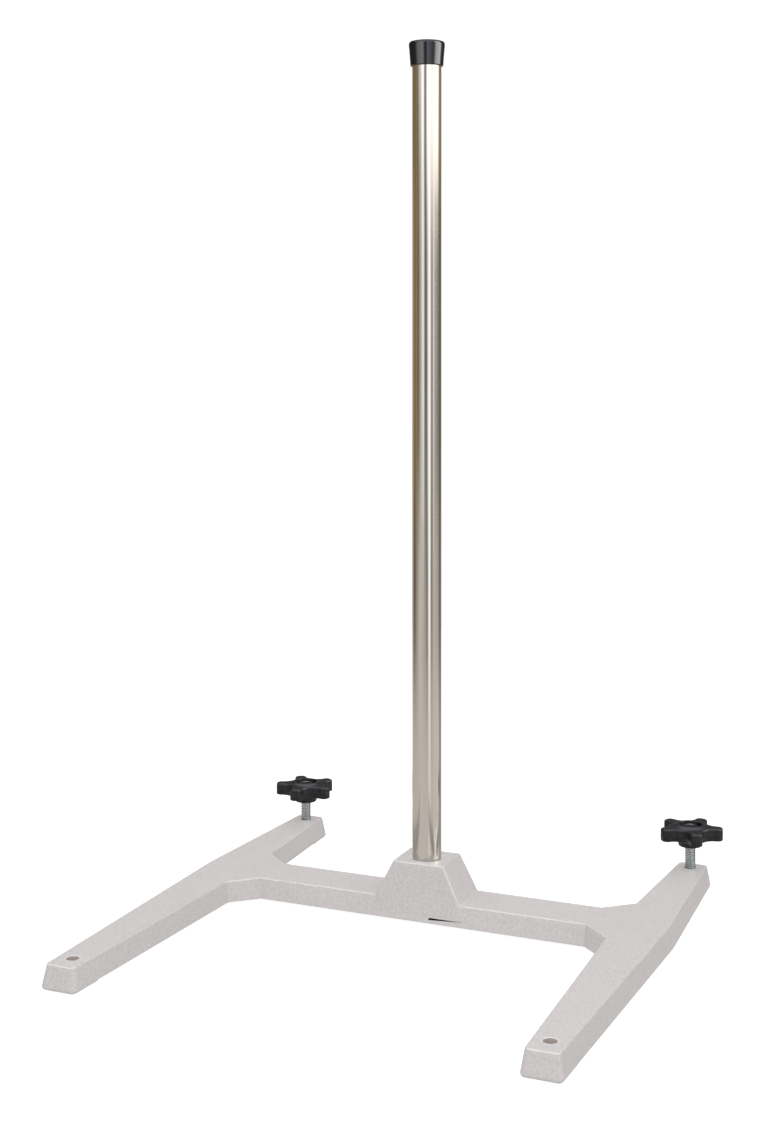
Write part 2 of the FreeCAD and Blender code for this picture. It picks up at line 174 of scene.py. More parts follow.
class Shader:
    """A node tree with short calls to add nodes and join them."""

    def __init__(self, tree):
        self.tree = tree

    def add(self, kind, inputs=None, **settings):
        node = self.tree.nodes.new(kind)
        for name, value in settings.items():
            setattr(node, name, value)
        for name, value in (inputs or {}).items():
            self.feed(node.inputs[name], value)
        return node

    def feed(self, socket, value):
        """Link a socket to another, or give it a constant."""
        if isinstance(value, bpy.types.NodeSocket):
            self.tree.links.new(value, socket)
        else:
            socket.default_value = value

    def math(self, operation, first, second=0.0, third=0.0):
        values = {0: first, 1: second, 2: third}
        return self.add("ShaderNodeMath", values, operation=operation).outputs[0]

    def mix(self, share, first, second, blend="MIX"):
        node = self.add("ShaderNodeMix", data_type="RGBA", blend_type=blend)
        for index, value in ((0, share), (6, first), (7, second)):
            self.feed(node.inputs[index], value)
        return node.outputs[2]

    def ramp(self, share, stops, interpolation="LINEAR"):
        """Map a value through stops of (position, grey or colour)."""
        node = self.add("ShaderNodeValToRGB", {"Fac": share})
        ramp = node.color_ramp
        ramp.interpolation = interpolation
        while len(ramp.elements) < len(stops):
            ramp.elements.new(1.0)
        for element, (position, colour) in zip(ramp.elements, stops):
            element.position = position
            rgb = (colour,) * 3 if isinstance(colour, (int, float)) else colour
            element.color = (*rgb, 1.0)
        return node.outputs["Color"]

    def noise(self, place, scale, detail=2.0, roughness=0.5):
        node = self.add("ShaderNodeTexNoise", {
            "Vector": place, "Scale": scale, "Detail": detail, "Roughness": roughness})
        return node.outputs["Fac"]

    def bump(self, height, strength, distance, normal=None):
        inputs = {"Height": height, "Strength": strength, "Distance": distance}
        if normal is not None:
            inputs["Normal"] = normal
        return self.add("ShaderNodeBump", inputs).outputs["Normal"]

    def stretch(self, place, scale):
        """Scale a place unevenly, to draw a pattern out along an axis."""
        return self.add("ShaderNodeMapping", {"Vector": place, "Scale": scale}).outputs["Vector"]

    def split(self, vector):
        """The X, Y and Z outputs of a vector."""
        return self.add("ShaderNodeSeparateXYZ", {"Vector": vector}).outputs

    def surface_normal(self):
        return self.add("ShaderNodeNewGeometry").outputs["Normal"]

    def size_of(self, value):
        return self.math("ABSOLUTE", value)

    def times(self, first, second):
        return self.math("MULTIPLY", first, second)


def new_material(name):
    """A material with a surface shader; returns the material, its shader helper and the surface."""
    material = bpy.data.materials.new(name)
    material.use_nodes = True
    shader = Shader(material.node_tree)
    surface = material.node_tree.nodes["Principled BSDF"]
    return material, shader, surface


def place_of(shader):
    return shader.add("ShaderNodeTexCoord").outputs["Object"]


def join(shader, surface, **sockets):
    """Join sockets to the surface's inputs, named with underscores for spaces."""
    for name, socket in sockets.items():
        shader.tree.links.new(socket, surface.inputs[name.replace("_", " ")])


def near_axis(shader, place, x, y, radius):
    """1 within a radius of an upright axis, 0 outside it."""
    parts = shader.split(place)
    dx = shader.math("SUBTRACT", parts["X"], x)
    dy = shader.math("SUBTRACT", parts["Y"], y)
    square = shader.math("ADD", shader.times(dx, dx), shader.times(dy, dy))
    return shader.math("LESS_THAN", square, radius * radius)


# ---------------------------------------------------------------- materials

def coat_tone(shader, place, fine, grain):
    """Warm light grey with a fine speckle and a faint drift over the casting."""
    cloud = shader.noise(place, 26.0, 4.0, 0.55)
    tone = shader.ramp(grain, [(0.30, (0.456, 0.438, 0.437)), (0.70, (0.590, 0.567, 0.566))])
    tone = shader.mix(1.0, tone, shader.ramp(fine, [(0.30, 0.845), (0.70, 1.03)]), "MULTIPLY")
    drift = shader.ramp(cloud, [(0.30, (0.982, 0.977, 0.975)), (0.70, (1.0, 1.0, 1.0))])
    return shader.mix(1.0, tone, drift, "MULTIPLY")


def edge_highlights(shader, place):
    """Painted edge highlights: 1 on forward-facing rounded upper edges, less on the boss's upright
    ones, else 0.
    """
    parts = shader.split(place)
    lean = shader.split(shader.surface_normal())
    rim = shader.ramp(lean["Z"], [(0.50, 0.0), (0.68, 1.0), (0.95, 1.0), (0.995, 0.0)])
    slant = shader.times(shader.size_of(lean["X"]), shader.size_of(lean["Y"]))
    at_boss = shader.math("LESS_THAN", shader.size_of(parts["X"]), 60.0 * MM)
    above_foot = shader.math("GREATER_THAN", parts["Z"], 5.0 * MM)
    upright = shader.times(shader.ramp(slant, [(0.10, 0.0), (0.22, 0.18)]), at_boss)
    edge = shader.math("MAXIMUM", rim, shader.times(upright, above_foot))
    forward = shader.ramp(shader.times(lean["Y"], -1.0), [(0.12, 0.08), (0.45, 1.0)])
    patchy = shader.ramp(shader.noise(place, 160.0, 3.0), [(0.35, 0.55), (0.65, 1.0)])
    return shader.times(edge, shader.times(patchy, forward))


def bare_holes_and_rim_highlights(shader, place, tone):
    """A painted highlight ringing the four holes, machined metal inside them, and a cream socket
    mouth.
    """
    pattern = shader.noise(shader.stretch(place, (60.0, 60.0, 900.0)), 12.0, 3.0)
    machined = shader.ramp(pattern, [(0.3, (0.40, 0.355, 0.335)), (0.7, (0.50, 0.455, 0.43))])
    sizes = (
        (-BOLT_HOLE_REACH, 6.1 * MM, 5.2 * MM),
        (TAPPED_HOLE_REACH, 5.6 * MM, 4.9 * MM),
    )
    holes = [(side * LEG_OFFSET, *size) for side in (-1, 1) for size in sizes]
    for x, y, highlight_radius, _ in holes:
        # Painted highlight: a lighter ring round each hole, where its rim edge would catch light.
        ring = near_axis(shader, place, x, y, highlight_radius)
        tone = shader.mix(shader.times(ring, 0.5), tone, (0.72, 0.68, 0.67, 1.0))
    for x, y, _, hole_radius in holes:
        tone = shader.mix(near_axis(shader, place, x, y, hole_radius), tone, machined)
    cream = shader.mix(0.7, machined, (0.74, 0.71, 0.66, 1.0))
    return shader.mix(near_axis(shader, place, 0.0, 0.0, 14.5 * MM), tone, cream)


def powder_coat():
    """Light warm grey powder coat over cast iron: orange peel, grain, painted edge highlights, bare
    bores.
    """
    material, shader, surface = new_material("powder_coat_grey")
    place = place_of(shader)
    fine = shader.noise(place, 1150.0, 3.0, 0.6)
    grain = shader.noise(place, 600.0, 3.0, 0.6)
    edge = edge_highlights(shader, place)
    tone = coat_tone(shader, place, fine, grain)
    # Painted highlight: the forward-facing rounded edges get a lighter colour, broken into patches by
    # noise.
    tone = shader.mix(shader.times(edge, 0.42), tone, (0.74, 0.725, 0.72, 1.0))
    tone = bare_holes_and_rim_highlights(shader, place, tone)
    rough = shader.ramp(grain, [(0.3, 0.36), (0.7, 0.48)])
    rough = shader.mix(shader.times(edge, 0.6), rough, (0.34, 0.34, 0.34, 1.0))
    peel = shader.noise(place, 330.0, 2.0, 0.4)
    normal = shader.bump(peel, 0.28, 0.10 * MM)
    normal = shader.bump(fine, 0.30, 0.06 * MM, normal)
    join(shader, surface, Base_Color=tone, Roughness=rough, Normal=normal)
    surface.inputs["IOR"].default_value = 1.48
    return material


def polished_tube():
    """Bright drawn tube: warm steel with fine lengthwise draw lines and faint haze."""
    material, shader, surface = new_material("polished_steel_tube")
    place = place_of(shader)
    lines = shader.noise(shader.stretch(place, (1.0, 1.0, 0.004)), 2400.0, 3.0, 0.6)
    haze = shader.noise(shader.stretch(place, (1.0, 1.0, 0.3)), 60.0, 4.0, 0.6)
    tone = shader.ramp(lines, [(0.3, (0.455, 0.430, 0.398)), (0.7, (0.495, 0.468, 0.434))])
    soil_and_shade = shader.ramp(haze, [(0.35, 0.965), (0.65, 1.0)])
    tone = shader.mix(1.0, tone, soil_and_shade, "MULTIPLY")
    rough = shader.ramp(haze, [(0.3, 0.075), (0.75, 0.10)])
    normal = shader.bump(lines, 0.05, 0.01 * MM)
    around = shader.add("ShaderNodeTangent", direction_type="RADIAL", axis="Z").outputs[0]
    surface.inputs["Metallic"].default_value = 1.0
    surface.inputs["Anisotropic"].default_value = 0.94
    surface.inputs["Anisotropic Rotation"].default_value = 0.25
    join(shader, surface, Base_Color=tone, Roughness=rough, Normal=normal, Tangent=around)
    return material


def cap_vinyl():
    """Glossy black soft vinyl, slightly uneven from dipping and duller on top; its sides mirror
    light from higher up than a straight wall does."""
    material, shader, surface = new_material("cap_black_vinyl")
    place = place_of(shader)
    cloud = shader.noise(place, 130.0, 3.0, 0.5)
    grain = shader.noise(place, 3200.0, 2.0, 0.5)
    tone = shader.ramp(cloud, [(0.3, (0.002, 0.002, 0.003)), (0.7, (0.004, 0.004, 0.005))])
    rough = shader.ramp(grain, [(0.3, 0.06), (0.7, 0.10)])
    facing = shader.surface_normal()
    lifted = shader.add("ShaderNodeVectorMath", {0: facing, 1: (0.0, 0.0, 0.17)}, operation="ADD")
    level = shader.add("ShaderNodeVectorMath", {0: lifted.outputs["Vector"]}, operation="NORMALIZE")
    normal = shader.bump(cloud, 0.10, 0.08 * MM, level.outputs["Vector"])
    normal = shader.bump(grain, 0.05, 0.01 * MM, normal)
    shine = shader.ramp(shader.split(facing)["Z"], [(0.20, 0.5), (0.50, 0.06)])
    join(shader, surface, Base_Color=tone, Roughness=rough, Specular_IOR_Level=shine, Normal=normal)
    surface.inputs["IOR"].default_value = 1.46
    return material


def knob_plastic():
    """Satin black moulded thermoset with a fine spark-eroded grain, rubbed smooth on its edges."""
    material, shader, surface = new_material("knob_black_plastic")
    place = place_of(shader)
    grain = shader.noise(place, 2400.0, 3.0, 0.55)
    cloud = shader.noise(place, 160.0, 3.0, 0.5)
    tone = shader.ramp(cloud, [(0.3, (0.005, 0.005, 0.006)), (0.7, (0.009, 0.009, 0.012))])
    bevel = shader.add("ShaderNodeBevel", {"Radius": 0.8 * MM}, samples=4).outputs["Normal"]
    facing = shader.surface_normal()
    agreement = shader.add("ShaderNodeVectorMath", {0: bevel, 1: facing}, operation="DOT_PRODUCT")
    edge = shader.ramp(agreement.outputs["Value"], [(0.92, 1.0), (0.998, 0.0)])
    tone = shader.mix(shader.times(edge, 0.15), tone, (0.035, 0.036, 0.04, 1.0))
    rough = shader.ramp(grain, [(0.3, 0.34), (0.7, 0.46)])
    rough = shader.mix(shader.times(edge, 0.3), rough, (0.30, 0.30, 0.30, 1.0))
    normal = shader.bump(grain, 0.22, 0.03 * MM)
    join(shader, surface, Base_Color=tone, Roughness=rough, Normal=normal)
    surface.inputs["IOR"].default_value = 1.32
    return material


def zinc_plate():
    """Bright zinc plate on a rolled thread: bluish grey, with painted shade in the roots and on the
    head.
    """
    material, shader, surface = new_material("zinc_plated_steel")
    place = place_of(shader)
    cloud = shader.noise(place, 420.0, 4.0, 0.6)
    grain = shader.noise(place, 3600.0, 2.0, 0.5)
    tone = shader.ramp(cloud, [(0.3, (0.56, 0.60, 0.615)), (0.7, (0.70, 0.74, 0.755))])
    # Painted shade: a per-vertex layer darkens the thread's roots and the whole head toward near
    # black.
    soil_and_shade = shader.add("ShaderNodeAttribute", attribute_name="soil_and_shade").outputs["Fac"]
    tone = shader.mix(soil_and_shade, tone, (0.055, 0.058, 0.056, 1.0))
    rough = shader.ramp(cloud, [(0.3, 0.20), (0.7, 0.30)])
    normal = shader.bump(grain, 0.12, 0.015 * MM)
    surface.inputs["Metallic"].default_value = 1.0
    join(shader, surface, Base_Color=tone, Roughness=rough, Normal=normal)
    return material


def black_oxide():
    """Black oxide on a socket set screw, thin and a little brown where it is rubbed."""
    material, shader, surface = new_material("black_oxide_steel")
    place = place_of(shader)
    cloud = shader.noise(place, 500.0, 4.0, 0.6)
    tone = shader.ramp(cloud, [(0.35, (0.030, 0.030, 0.033)), (0.7, (0.075, 0.068, 0.062))])
    rough = shader.ramp(cloud, [(0.3, 0.32), (0.7, 0.48)])
    normal = shader.bump(shader.noise(place, 3000.0, 2.0), 0.15, 0.02 * MM)
    surface.inputs["Metallic"].default_value = 0.85
    join(shader, surface, Base_Color=tone, Roughness=rough, Normal=normal)
    return material


def natural_nylon():
    """Natural nylon: creamy, slightly translucent, with a soft moulded grain."""
    material, shader, surface = new_material("natural_nylon")
    place = place_of(shader)
    cloud = shader.noise(place, 600.0, 3.0, 0.5)
    tone = shader.ramp(cloud, [(0.3, (0.64, 0.61, 0.53)), (0.7, (0.76, 0.74, 0.66))])
    rough = shader.ramp(cloud, [(0.3, 0.38), (0.7, 0.5)])
    normal = shader.bump(shader.noise(place, 2600.0, 2.0), 0.12, 0.02 * MM)
    join(shader, surface, Base_Color=tone, Roughness=rough, Normal=normal)
    surface.inputs["Subsurface Weight"].default_value = 0.15
    surface.inputs["Subsurface Radius"].default_value = (0.002, 0.0015, 0.001)
    return material


def studio_floor():
    """Plain white sweep with a barely visible mottle; it glows a little, as a lit sweep does."""
    material, shader, surface = new_material("studio_floor")
    place = place_of(shader)
    tone = shader.ramp(shader.noise(place, 9.0, 3.0), [(0.3, 0.30), (0.7, 0.32)])
    rough = shader.ramp(shader.noise(place, 40.0, 3.0), [(0.3, 0.80), (0.7, 0.90)])
    join(shader, surface, Base_Color=tone, Roughness=rough)
    surface.inputs["Emission Color"].default_value = (1.0, 1.0, 1.0, 1.0)
    surface.inputs["Emission Strength"].default_value = 0.80
    return material


# ---------------------------------------------------------------- pieces

def finish_piece(piece, body, slot, material, *nodes):
    """Give a piece its material, let it ride on a body and let it stand for CAD nodes."""
    piece.data.materials.append(material)
    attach(piece, body)
    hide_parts(*nodes)


def make_tube(material):
    """The post: a drawn tube whose wall wanders by about a hundredth of a millimetre; it throws no
    bounced light."""
    low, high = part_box("post_tube")
    radius = high.x
    bore = radius - TUBE_WALL
    rim = radius - TUBE_CHAMFER
    bottom = low.z + TUBE_CHAMFER
    length = high.z - low.z - 2 * TUBE_CHAMFER
    rows = 150
    angles = even_angles(192)
    centre = Vector((0, 0, 0))
    rings = [circle(centre, rim, low.z, angles)]
    for step in range(rows + 1):
        ring = circle(centre, radius, bottom + length * step / rows, angles)
        for point in ring:
            wander = noise.noise(Vector((point.x * 60, point.y * 60, point.z * 5)))
            scale = 1 + (wander - 0.7) * 0.006 * MM / radius
            point.x *= scale
            point.y *= scale
        rings.append(ring)
    rings.append(circle(centre, rim, high.z, angles))
    rings.append(circle(centre, bore, high.z, angles))
    rings.append(circle(centre, bore, low.z, angles))
    bm = bmesh.new()
    skin(bm, rings, close=True)
    piece = mesh_object("polished_tube", bm)
    piece.visible_diffuse = False
    finish_piece(piece, "stand", "polished_tube", material, "post_tube")


def make_cap(material):
    """The soft cap: rounded lip, a collar where it grips, a flared body and a rounded crown."""
    low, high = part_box("post_cap")
    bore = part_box("post_tube")[1].x + 0.02 * MM
    outline = [
        (0.5001 * MM, high.z - 2.3 * MM),
        (bore, high.z - 2.3 * MM),
        (bore, low.z),
        (14.40 * MM, low.z),
        (14.45 * MM, low.z + 2.0 * MM),
        (14.60 * MM, low.z + 4.5 * MM),
        (15.00 * MM, low.z + 10.0 * MM),
        (15.60 * MM, low.z + 16.5 * MM),
        (15.75 * MM, high.z - 2.4 * MM),
        (15.10 * MM, high.z - 0.75 * MM),
        (13.20 * MM, high.z - 0.10 * MM),
        (9.0 * MM, high.z - 0.02 * MM),
        (0.5 * MM, high.z - 0.35 * MM),
    ]
    bm = bmesh.new()
    rows = lathe(bm, Vector((0, 0, 0)), rounded(outline, 1.3 * MM, 7), 160)
    for row in rows:
        for vertex in row:
            swell = noise.noise(Vector((vertex.co.x * 70, vertex.co.y * 70, vertex.co.z * 50)))
            if math.hypot(vertex.co.x, vertex.co.y) > 13.6 * MM:
                vertex.co.x *= 1 + (swell - 0.5) * 0.002
                vertex.co.y *= 1 + (swell - 0.5) * 0.002
    piece = mesh_object("vinyl_cap", bm, 60)
    finish_piece(piece, "stand", "cap_vinyl", material, "post_cap")


def half_lobe(inset):
    """Half the outline of one lobe, from its tip round its flank to the valley beside it."""
    reach = KNOB_REACH - inset
    half_width = LOBE_HALF_WIDTH - inset
    tip = LOBE_TIP - inset
    valley = LOBE_VALLEY + inset
    half_step = math.pi / 5
    far = (half_width + valley) / math.sin(half_step)
    flank_end = far * math.cos(half_step)
    side = [(reach, (half_width - tip) * step / 3) for step in range(3)]
    for rise, run in quarter_circle(9):
        side.append((reach - tip + tip * run, half_width - tip + tip * rise))
    for step in range(1, 5):
        side.append((reach - tip + (flank_end - reach + tip) * step / 5, half_width))
    for step in range(13):
        angle = -math.pi / 2 - (math.pi / 2 - half_step) * step / 12
        x = flank_end + valley * math.cos(angle)
        y = far * math.sin(half_step) + valley * math.sin(angle)
        side.append((x, y))
    return side


def star_ring(centre, height, turn, inset):
    """Outline of the knob's five lobes, moved inwards by an inset."""
    side = half_lobe(inset)
    lobe = [(x, -y) for x, y in side[:0:-1]] + side[:-1]
    ring = []
    for index in range(5):
        angle = turn + math.tau * index / 5
        for x, y in lobe:
            ring.append(Vector((
                centre.x + x * math.cos(angle) - y * math.sin(angle),
                centre.y + x * math.sin(angle) + y * math.cos(angle),
                height,
            )))
    return ring


def circle_like(ring, centre, radius, height):
    """A circle whose points lie at the same angles as those of a ring."""
    angles = [math.atan2(point.y - centre.y, point.x - centre.x) for point in ring]
    return circle(centre, radius, height, angles)


def hexagon_like(ring, centre, flats, height, turn, cone=None):
    """A hexagon whose points lie at the angles of a ring, kept inside a radius if one is given."""
    out = []
    for point in ring:
        angle = math.atan2(point.y - centre.y, point.x - centre.x)
        folded = (angle - turn) % (math.pi / 3) - math.pi / 6
        radius = flats / 2 / math.cos(folded)
        if cone is not None:
            radius = min(radius, cone)
        x = centre.x + radius * math.cos(angle)
        y = centre.y + radius * math.sin(angle)
        out.append(Vector((x, y, height)))
    return out


class StarKnob:
    """The rings of a star knob's skin, from the foot of its bore up its outside and down inside."""

    def __init__(self, side):
        foot_low, foot_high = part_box(side + "_foot")
        low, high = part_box(side + "_knob")
        self.centre = (foot_low + foot_high) / 2
        self.turn = math.radians(KNOB_TURN[side])
        self.base = low.z
        self.rim = high.z
        self.top = low.z + LOBE_TOP
        self.under = self.top - LOBE_DEPTH
        self.bore = SCREW_RADIUS + 0.1 * MM
        self.guide = star_ring(self.centre, self.top, self.turn, 0.0)

    def round(self, radius, height):
        return circle_like(self.guide, self.centre, radius, height)

    def star(self, height, inset):
        return star_ring(self.centre, height, self.turn, inset)

    def hexagon(self, flats, height):
        return hexagon_like(self.guide, self.centre, flats, height, self.turn)

    def hub(self):
        """The bore's mouth, the hub's rounded foot and its wall, flared under the lobes."""
        bulge = 1.3 * MM
        rings = [self.round(self.bore, self.base + 0.3 * MM)]
        rings.append(self.round(self.bore + 0.5 * MM, self.base))
        for out, drop in quarter_circle(5):
            height = self.base + bulge - bulge * drop
            rings.append(self.round(10.75 * MM - bulge + bulge * out, height))
        rings.append(self.round(11.25 * MM, self.base + 3.5 * MM))
        rings.append(self.round(11.7 * MM, self.under - 0.8 * MM))
        rings.append(self.round(12.0 * MM, self.under - 0.2 * MM))
        rings.append(self.round(12.6 * MM, self.under))
        return rings

    def lobes(self):
        """The lobes' flat underside, rounded edges, mould seam and slightly sunken top."""
        lower_edge = 0.9 * MM
        upper_edge = 1.9 * MM
        inner = self.round(12.6 * MM, self.under)
        outer = self.star(self.under, lower_edge)
        rings = [blend_rings(inner, outer, share) for share in (0.35, 0.7)]
        for out, drop in quarter_circle(5):
            height = self.under + lower_edge - lower_edge * drop
            rings.append(self.star(height, RELIEF + lower_edge - lower_edge * out))
        seam = (self.under + self.top) / 2 - 0.6 * MM
        for rise, inset in ((-0.22, RELIEF), (-0.08, 0.0), (0.08, 0.0), (0.22, RELIEF)):
            rings.append(self.star(seam + rise * MM, inset))
        for rise, out in quarter_circle(8):
            height = self.top - upper_edge + upper_edge * rise
            rings.append(self.star(height, RELIEF + upper_edge - upper_edge * out))
        outer = self.star(self.top, upper_edge)
        foot = self.round(CROWN_FOOT, self.top)
        for share in (0.25, 0.5, 0.75, 1.0):
            ring = blend_rings(outer, foot, share)
            for point in ring:
                point.z -= 0.22 * MM * math.sin(math.pi * share)
            rings.append(ring)
        return rings

    def crown(self):
        """The raised ring round the recess, with a rounded lip."""
        lip = 0.7 * MM
        profile = ((15.1, 0.07), (14.2, 0.265), (13.2, 0.588), (12.4, 0.824), (11.8, 0.953))
        rings = []
        for radius, share in profile:
            rings.append(self.round(radius * MM, self.top + share * (self.rim - self.top)))
        for inward, rise in quarter_circle(5):
            height = self.rim - lip + lip * rise
            rings.append(self.round(RECESS_RADIUS + lip - lip * inward, height))
        return rings

    def seat(self):
        """The round recess and the hexagon pocket in its floor, down to the bore."""
        floor = self.rim - RECESS_DEPTH
        flats = HEAD_FLATS + 0.2 * MM
        pocket = self.base + SCREW_SEAT
        return [
            self.round(RECESS_RADIUS - 0.05 * MM, floor + 0.6 * MM),
            self.round(RECESS_RADIUS - 0.2 * MM, floor + 0.15 * MM),
            self.round(RECESS_RADIUS - 0.65 * MM, floor),
            self.hexagon(flats + 0.5 * MM, floor),
            self.hexagon(flats, floor - 0.25 * MM),
            self.hexagon(flats, pocket),
            self.round(self.bore, pocket),
        ]


def make_knob(side, material):
    """A star knob as one closed skin; its matt black sides send no bounced light to the base."""
    knob = StarKnob(side)
    bm = bmesh.new()
    skin(bm, knob.hub() + knob.lobes() + knob.crown() + knob.seat(), close=True)
    piece = mesh_object(side + "_star_knob", bm, 50)
    piece.visible_diffuse = False
    finish_piece(piece, side + "_knob", "knob_plastic", material, side + "_knob")


# One turn of a thread's profile: share of the pitch, and depth of cut.
THREAD_PROFILE = (
    (0.0, 0.0), (0.125, 0.0), (0.29, 0.5), (0.44, 0.96), (0.565, 1.0), (0.69, 0.96), (0.845, 0.5),
)


def painted_shade_layer(bm):
    """How much painted shade each vertex carries, from 0 on open plate to 1 on the head in the
    recess.
    """
    return bm.verts.layers.float.get("soil_and_shade") or bm.verts.layers.float.new("soil_and_shade")


def thread(bm, centre, radius, low, high, point=0.9 * MM, segments=64):
    """A right-hand thread between two heights, with tapered ends left open."""
    depth = 0.6 * SCREW_PITCH
    layer = painted_shade_layer(bm)
    turns = int((high - low) / SCREW_PITCH) + 3
    rows = [(turn + phase - 2, cut) for turn in range(turns) for phase, cut in THREAD_PROFILE]
    columns = []
    for segment in range(segments):
        angle = math.tau * segment / segments
        column = []
        for position, cut in rows:
            height = low + SCREW_PITCH * (position + segment / segments)
            height = min(max(height, low), high)
            inside = min(height - low, high - height)
            limit = radius - max(0.0, point - inside)
            at = min(radius - cut * depth, limit) if inside > 0 else radius - point
            x = centre.x + at * math.cos(angle)
            y = centre.y + at * math.sin(angle)
            vertex = bm.verts.new((x, y, height))
            # Painted shade in the thread's roots, darker where the cut is deeper.
            vertex[layer] = 0.5 * cut if inside > 0 else 0.0
            column.append(vertex)
        columns.append(column)
    one_turn_on = columns[0][len(THREAD_PROFILE):]
    for near, far in zip(columns, columns[1:] + [one_turn_on]):
        for index in range(len(far) - 1):
            bm.faces.new((near[index], far[index], far[index + 1], near[index + 1]))
    merge_run_outs(bm)


def merge_run_outs(bm):
    """Merge a thread's flattened ends into one rim each."""
    bmesh.ops.remove_doubles(bm, verts=bm.verts, dist=0.002 * MM)
    bmesh.ops.dissolve_degenerate(bm, edges=bm.edges, dist=0.001 * MM)


def open_rims(bm):
    return [edge for edge in bm.edges if edge.is_boundary]


def hexagon_head(bm, centre, low, high, turn):
    """A hexagon head: washer face below, corners chamfered above by a 30 degree cone."""
    angles = even_angles(144)
    guide = circle(centre, 1.0, low, angles)
    corner = HEAD_FLATS / 2 / math.cos(math.pi / 6)
    face = HEAD_FLATS / 2 * 0.95
    rise = (corner - face) * math.tan(math.radians(30))
    rings = [
        circle(centre, face, low, angles),
        hexagon_like(guide, centre, HEAD_FLATS, low + 0.2 * MM, turn),
        hexagon_like(guide, centre, HEAD_FLATS, high - rise, turn, corner),
    ]
    for step in range(1, 7):
        share = step / 6
        cone = corner + (face - corner) * share
        height = high - rise * (1 - share)
        rings.append(hexagon_like(guide, centre, HEAD_FLATS, height, turn, cone))
    for radius, dip in ((0.86, 0.0), (0.80, 0.06), (0.72, 0.3), (0.66, 0.42), (0.3, 0.5)):
        rings.append(circle(centre, face * radius, high - dip * MM, angles))
    rows = skin(bm, rings)
    bm.faces.new(rows[0])
    bm.faces.new(rows[-1])
    # Painted shade: the whole head is darkened because it lies in the shade of the knob's recess.
    layer = painted_shade_layer(bm)
    for row in rows:
        for vertex in row:
            vertex[layer] = 0.93


def make_levelling_screw(side, material):
    """A zinc-plated screw with a real thread below its hexagon head."""
    foot_low, foot_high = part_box(side + "_foot")
    centre = (foot_low + foot_high) / 2
    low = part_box(side + "_screw")[0].z
    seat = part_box(side + "_knob")[0].z + SCREW_SEAT
    bm = bmesh.new()
    thread(bm, centre, SCREW_RADIUS, low, seat + 0.2 * MM)
    bmesh.ops.holes_fill(bm, edges=open_rims(bm), sides=0)
    hexagon_head(bm, centre, seat, seat + HEAD_HEIGHT, math.radians(KNOB_TURN[side]))
    piece = mesh_object(side + "_threaded_screw", bm, 35)
    finish_piece(piece, side + "_knob", "zinc_plate", material, side + "_screw")


def make_foot(side, material):
    """The nylon button under a levelling screw, with rounded edges and a barbed stem."""
    low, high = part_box(side + "_foot")
    centre = (low + high) / 2
    outline = [
        (0.3 * MM, low.z),
        (3.0 * MM, low.z),
        (3.0 * MM, low.z + 2.8 * MM),
        (1.5 * MM, low.z + 2.8 * MM),
        (1.5 * MM, high.z - 1.6 * MM),
        (1.54 * MM, high.z - 1.4 * MM),
        (0.9 * MM, high.z),
        (0.3 * MM, high.z),
    ]
    bm = bmesh.new()
    lathe(bm, centre, rounded(outline, 0.5 * MM, 5), 64)
    piece = mesh_object(side + "_nylon_foot", bm)
    finish_piece(piece, side + "_foot", "nylon", material, side + "_foot")


def socket_in_end(bm, rim, length):
    """A hexagon socket with a conical floor, cut into the end that has a given rim."""
    origin = Vector((0, 0, 0))
    row = sorted({v for edge in rim for v in edge.verts}, key=lambda v: math.atan2(v.co.y, v.co.x))
    guide = [vertex.co.copy() for vertex in row]
    rings = (
        hexagon_like(guide, origin, KEY_FLATS + 0.5 * MM, length, 0.0),
        hexagon_like(guide, origin, KEY_FLATS, length - 0.25 * MM, 0.0),
        hexagon_like(guide, origin, KEY_FLATS, length - 3.5 * MM, 0.0),
        circle_like(guide, origin, 0.4 * MM, length - 4.3 * MM),
    )
    for ring in rings:
        inner = [bm.verts.new(point) for point in ring]
        for index in range(len(inner)):
            following = (index + 1) % len(inner)
            bm.faces.new((row[index], row[following], inner[following], inner[index]))
        row = inner
    bm.faces.new(row)


def make_set_screw(place, material):
    """A headless screw that lies along Y, with its thread and hexagon socket."""
    low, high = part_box(place + "_set_screw")
    centre = (low + high) / 2
    length = high.y - low.y
    bm = bmesh.new()
    thread(bm, Vector((0, 0, 0)), (high.x - low.x) / 2, 0.0, length, 0.6 * MM, 48)
    rims = open_rims(bm)
    upper = [edge for edge in rims if edge.verts[0].co.z > length / 2]
    lower = [edge for edge in rims if edge.verts[0].co.z < length / 2]
    bmesh.ops.holes_fill(bm, edges=lower, sides=0)
    socket_in_end(bm, upper, length)
    for vertex in bm.verts:
        x, y, z = vertex.co
        vertex.co = Vector((centre.x + x, low.y + z, centre.z - y))
    piece = mesh_object(place + "_grub_screw", bm, 35)
    finish_piece(piece, "stand", "black_steel", material, place + "_set_screw")


# ---------------------------------------------------------------- stage

def make_floor():
    """A round plain sweep under the stand."""
    bm = bmesh.new()
    angles = even_angles(96)
    centre = Vector((0, 0, 0))
    rows = skin(bm, [circle(centre, radius, -0.05 * MM, angles) for radius in (1.42, 0.9, 0.45, 0.1)])
    bm.faces.new(rows[-1])
    floor = mesh_object("studio_floor", bm)
    floor.data.materials.append(studio_floor())
    floor.visible_glossy = False
    floor.visible_diffuse = False


